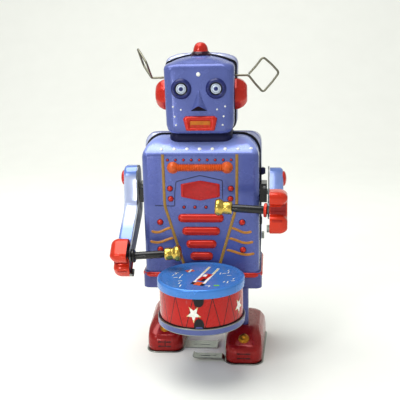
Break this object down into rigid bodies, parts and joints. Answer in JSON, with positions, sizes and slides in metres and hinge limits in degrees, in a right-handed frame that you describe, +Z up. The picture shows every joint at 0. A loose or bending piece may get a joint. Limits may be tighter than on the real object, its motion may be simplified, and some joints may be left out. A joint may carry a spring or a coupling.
{
  "type": "toy robot",
  "caption": "Clockwork tin robot with a drum at its waist, swinging drumstick arms, wire antennas and stepping feet.",
  "frame": {"origin": "on the ground, at the middle of the box round the whole toy", "axes": "+Z up; the robot faces -Y and its left hand is on the +X side"},
  "size_m": [0.1124, 0.12, 0.2098],
  "materials": {
    "violet_tin": "glossy printed tinplate",
    "skirt_tin": "glossy printed tinplate",
    "navy_tin": "glossy printed tinplate",
    "red_tin": "glossy printed tinplate",
    "dark_red_tin": "glossy printed tinplate",
    "drum_blue": "glossy printed tinplate",
    "rim_blue": "glossy printed tinplate",
    "brass": "polished",
    "black_steel": "satin black",
    "bare_steel": "bright plated",
    "spring_steel": "blued"
  },
  "bodies": {
    "torso": {"body_front_shell": "violet_tin", "body_back_shell": "violet_tin", "head_front_shell": "violet_tin", "head_back_shell": "violet_tin", "base_pan": "skirt_tin", "neck_collar": "navy_tin", "head_dome": "red_tin", "left_ear": "red_tin", "right_ear": "red_tin", "drum_band": "red_tin", "drum_top": "drum_blue", "drum_bottom": "rim_blue", "drum_bracket": "rim_blue", "lower_motor_pillar": "brass", "front_motor_pillar": "brass", "rear_motor_pillar": "brass", "left_shoulder_bracket": "black_steel", "right_shoulder_bracket": "black_steel", "left_antenna": "bare_steel", "right_antenna": "bare_steel", "left_motor_plate": "bare_steel", "right_motor_plate": "bare_steel", "left_guide_rod": "bare_steel", "right_guide_rod": "bare_steel", "mainspring": "spring_steel"},
    "winding_unit": {"winding_arbor": "bare_steel", "ratchet_wheel": "bare_steel"},
    "great_wheel_unit": {"great_wheel": "brass", "click": "bare_steel"},
    "crank_unit": {"crankshaft": "bare_steel", "crank_wheel_and_pinion": "brass"},
    "second_unit": {"second_wheel_and_arbor": "brass"},
    "governor_unit": {"governor": "brass"},
    "right_leg": {"right_leg_tube": "skirt_tin", "right_leg_plate": "bare_steel", "right_foot_shell": "dark_red_tin", "right_sole_plate": "bare_steel", "right_toe_stud": "brass"},
    "left_leg": {"left_leg_tube": "skirt_tin", "left_leg_plate": "bare_steel", "left_foot_shell": "dark_red_tin", "left_sole_plate": "bare_steel", "left_toe_stud": "brass"},
    "left_arm": {"left_arm_shell": "violet_tin", "left_arm_plate": "black_steel", "left_shoulder_cap": "red_tin", "left_hand": "red_tin", "left_shoulder_shaft": "bare_steel", "left_drumstick": "black_steel", "left_drumstick_bell": "brass"},
    "right_arm": {"right_arm_shell": "violet_tin", "right_arm_plate": "black_steel", "right_shoulder_cap": "red_tin", "right_hand": "red_tin", "right_shoulder_shaft": "bare_steel", "right_drumstick": "black_steel", "right_drumstick_bell": "brass"}
  },
  "joints": [
    {"name": "right_leg_slide", "type": "slide", "parent": "torso", "child": "right_leg", "axis": [0, -1, 0], "range_m": [0, 0.017]},
    {"name": "left_leg_slide", "type": "slide", "parent": "torso", "child": "left_leg", "axis": [0, 1, 0], "range_m": [0, 0.017]},
    {"name": "left_arm_swing", "type": "hinge", "parent": "torso", "child": "left_arm", "pos_m": [0.047, 0.02, 0.11], "axis": [1, 0, 0], "range_deg": [0, 40]},
    {"name": "right_arm_swing", "type": "hinge", "parent": "torso", "child": "right_arm", "pos_m": [-0.047, 0.02, 0.11], "axis": [-1, 0, 0], "range_deg": [0, 40]},
    {"name": "winding_turn", "type": "hinge", "parent": "torso", "child": "winding_unit", "pos_m": [0, 0.0288, 0.077], "axis": [1, 0, 0], "continuous": true},
    {"name": "great_wheel_turn", "type": "hinge", "parent": "torso", "child": "great_wheel_unit", "pos_m": [0, 0.0288, 0.077], "axis": [1, 0, 0], "continuous": true},
    {"name": "crank_turn", "type": "hinge", "parent": "torso", "child": "crank_unit", "pos_m": [0, 0.02, 0.062], "axis": [1, 0, 0], "continuous": true},
    {"name": "second_wheel_turn", "type": "hinge", "parent": "torso", "child": "second_unit", "pos_m": [0, 0.01243, 0.07281], "axis": [1, 0, 0], "continuous": true},
    {"name": "governor_turn", "type": "hinge", "parent": "torso", "child": "governor_unit", "pos_m": [0, 0.00812, 0.08465], "axis": [1, 0, 0], "continuous": true}
  ],
  "couplings": [
    {"joint": "left_leg_slide", "follows": "right_leg_slide", "ratio": 1},
    {"joint": "left_arm_swing", "follows": "right_leg_slide", "rad_per_m": 41.06},
    {"joint": "right_arm_swing", "follows": "right_leg_slide", "rad_per_m": 41.06},
    {"joint": "crank_turn", "follows": "great_wheel_turn", "ratio": -2.2222},
    {"joint": "second_wheel_turn", "follows": "great_wheel_turn", "ratio": 5.9259},
    {"joint": "governor_turn", "follows": "great_wheel_turn", "ratio": -14.815}
  ]
}
